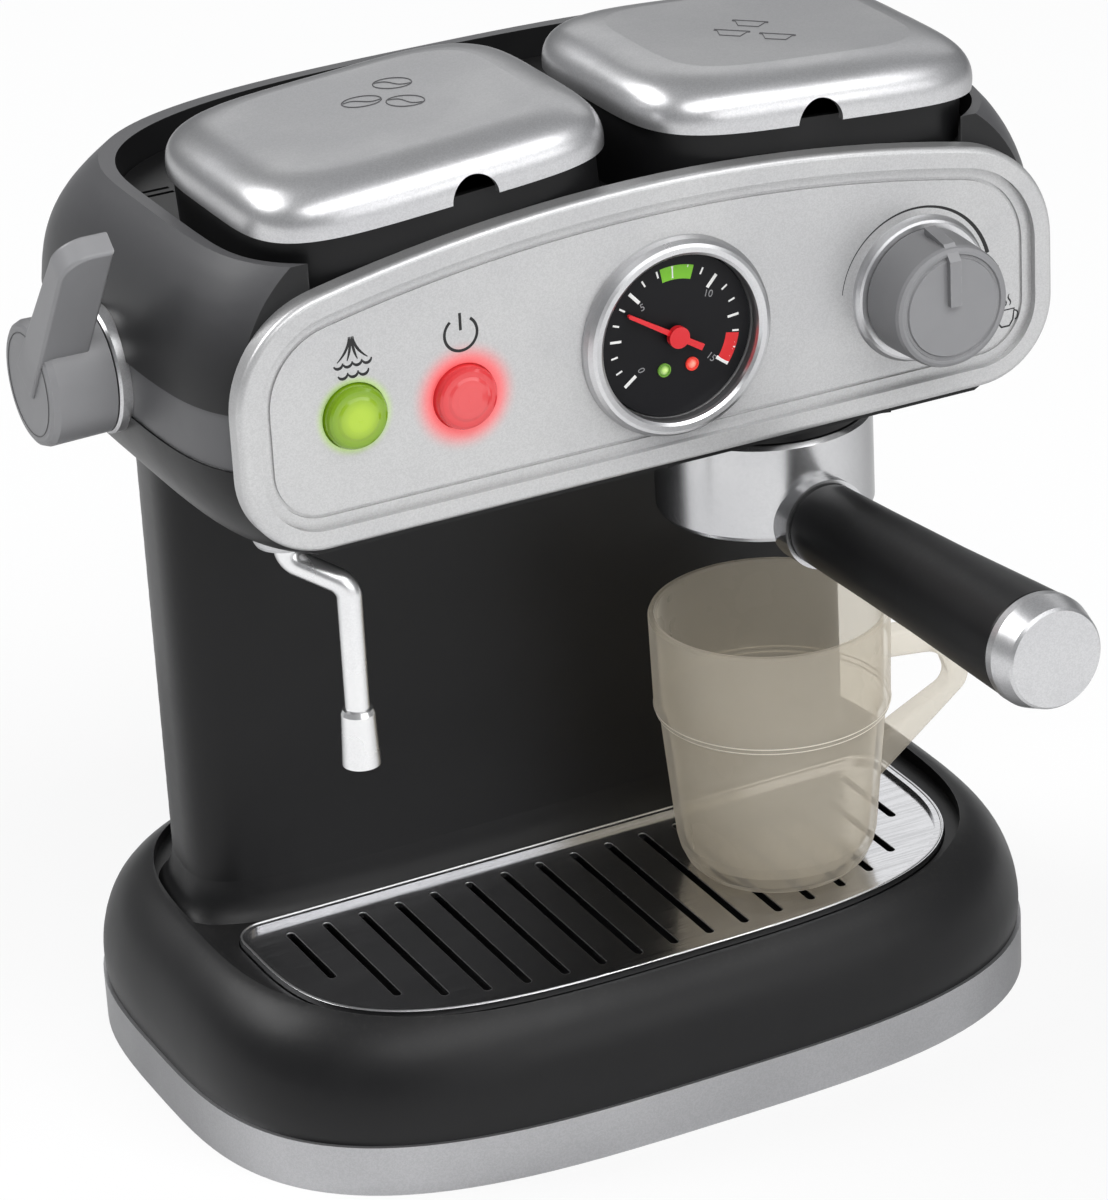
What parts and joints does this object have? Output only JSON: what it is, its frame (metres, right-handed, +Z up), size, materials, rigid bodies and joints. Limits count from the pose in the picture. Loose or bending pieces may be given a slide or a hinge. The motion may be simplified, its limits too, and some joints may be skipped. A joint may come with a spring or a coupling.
{
  "type": "toy coffee maker",
  "caption": "Free-standing toy espresso machine with storage lids, gauge, buttons, knobs, swinging wand, bayonet filter holder, drip tray and cup.",
  "frame": {"origin": "centre of the flat underside", "axes": "+Z up, -Y out of the front panel, +X to the right as seen from the front"},
  "size_m": [0.2458, 0.2582, 0.2584],
  "materials": {
    "silver_skirt": "silver-grey satin moulding",
    "black_satin": "black satin moulding",
    "dark_shell": "dark grey satin moulding",
    "grey_satin": "mid grey satin moulding",
    "knob_grey": "grey satin moulding",
    "silver_paint": "silver painted moulding",
    "bright_plate": "bright plated moulding",
    "dial_black": "printed black disc",
    "needle_red": "red moulding",
    "lens_green": "lit green translucent cap",
    "lens_red": "lit red translucent cap",
    "cup_smoke": "smoky beige translucent moulding",
    "tank_clear": "milky translucent moulding",
    "hose_clear": "soft clear hose",
    "inner_white": "plain white inner moulding",
    "board_green": "green circuit board",
    "switch_black": "black switch bodies",
    "lamp_clear": "clear lamp bodies",
    "cell_green": "plain sleeved cells",
    "steel": "plain steel"
  },
  "bodies": {
    "housing": {"base_skirt": "silver_skirt", "base_plate": "black_satin", "case_screws": "steel", "base_cover": "black_satin", "battery_box": "inner_white", "batteries": "cell_green", "battery_contacts": "steel", "battery_door": "black_satin", "column_shell": "black_satin", "head_lower_shell": "black_satin", "side_band": "grey_satin", "head_upper_shell": "dark_shell", "top_deck": "black_satin", "hinge_pins": "steel", "front_panel": "silver_paint", "gauge_bezel": "bright_plate", "gauge_dial": "dial_black", "circuit_board": "board_green", "button_switches": "switch_black", "button_lamps": "lamp_clear", "selector_collar": "bright_plate", "shaft_clips": "steel", "lever_collar": "silver_paint", "group_head": "black_satin", "bayonet_claws": "black_satin", "wand_socket": "silver_paint", "water_tank": "tank_clear", "water_pump": "inner_white", "water_hose": "hose_clear"},
    "lid_left": {"lid_left": "silver_paint"},
    "lid_right": {"lid_right": "silver_paint"},
    "needle": {"gauge_needle": "needle_red"},
    "steam_button": {"steam_button": "lens_green"},
    "power_button": {"power_button": "lens_red"},
    "selector": {"selector_knob": "knob_grey"},
    "lever": {"side_lever": "knob_grey"},
    "filter_holder": {"filter_basket": "silver_paint", "handle_grip": "black_satin", "handle_cap": "silver_paint"},
    "wand": {"steam_wand": "bright_plate", "wand_nozzle": "silver_paint"},
    "pan": {"drip_pan": "black_satin"},
    "grille": {"drip_grille": "bright_plate"},
    "cup": {"cup": "cup_smoke"},
    "filler_cap": {"tank_cap": "black_satin"}
  },
  "joints": [
    {"name": "lid_left_hinge", "type": "hinge", "parent": "housing", "child": "lid_left", "pos_m": [-0.04884, 0.0116, 0.24619], "axis": [0.9976, 0, 0.0698], "range_deg": [-100, 0]},
    {"name": "lid_right_hinge", "type": "hinge", "parent": "housing", "child": "lid_right", "pos_m": [0.04884, 0.0116, 0.24619], "axis": [0.9976, 0, -0.0698], "range_deg": [-100, 0]},
    {"name": "needle_turn", "type": "hinge", "parent": "housing", "child": "needle", "pos_m": [0.0047, -0.0696, 0.2005], "axis": [0, -1, 0], "range_deg": [-185, 66]},
    {"name": "steam_button_press", "type": "slide", "parent": "housing", "child": "steam_button", "axis": [0, 1, 0], "range_m": [0, 0.0015], "stiffness_N_per_m": 400},
    {"name": "power_button_press", "type": "slide", "parent": "housing", "child": "power_button", "axis": [0, 1, 0], "range_m": [0, 0.0015], "stiffness_N_per_m": 400},
    {"name": "selector_turn", "type": "hinge", "parent": "housing", "child": "selector", "pos_m": [0.07, -0.069, 0.1977], "axis": [0, -1, 0], "range_deg": [-95, 90]},
    {"name": "lever_turn", "type": "hinge", "parent": "housing", "child": "lever", "pos_m": [-0.1148, -0.006, 0.198], "axis": [1, 0, 0], "range_deg": [-60, 40]},
    {"name": "filter_holder_turn", "type": "hinge", "parent": "housing", "child": "filter_holder", "pos_m": [0.0427, -0.0393, 0.15], "axis": [0, 0, 1], "range_deg": [-45, 0]},
    {"name": "wand_swing", "type": "hinge", "parent": "housing", "child": "wand", "pos_m": [-0.0885, -0.05, 0.17], "axis": [0, 0, 1], "range_deg": [-35, 35]},
    {"name": "pan_lift", "type": "slide", "parent": "housing", "child": "pan", "axis": [0, 0, 1], "range_m": [0, 0.01]},
    {"name": "grille_lift", "type": "slide", "parent": "pan", "child": "grille", "axis": [0, 0, 1], "range_m": [0, 0.007]},
    {"name": "cup_take", "type": "slide", "parent": "grille", "child": "cup", "axis": [0.9954, 0, 0.0958], "range_m": [0, 0.12]},
    {"name": "filler_cap_lift", "type": "slide", "parent": "housing", "child": "filler_cap", "axis": [0, 0, 1], "range_m": [0, 0.03]}
  ]
}
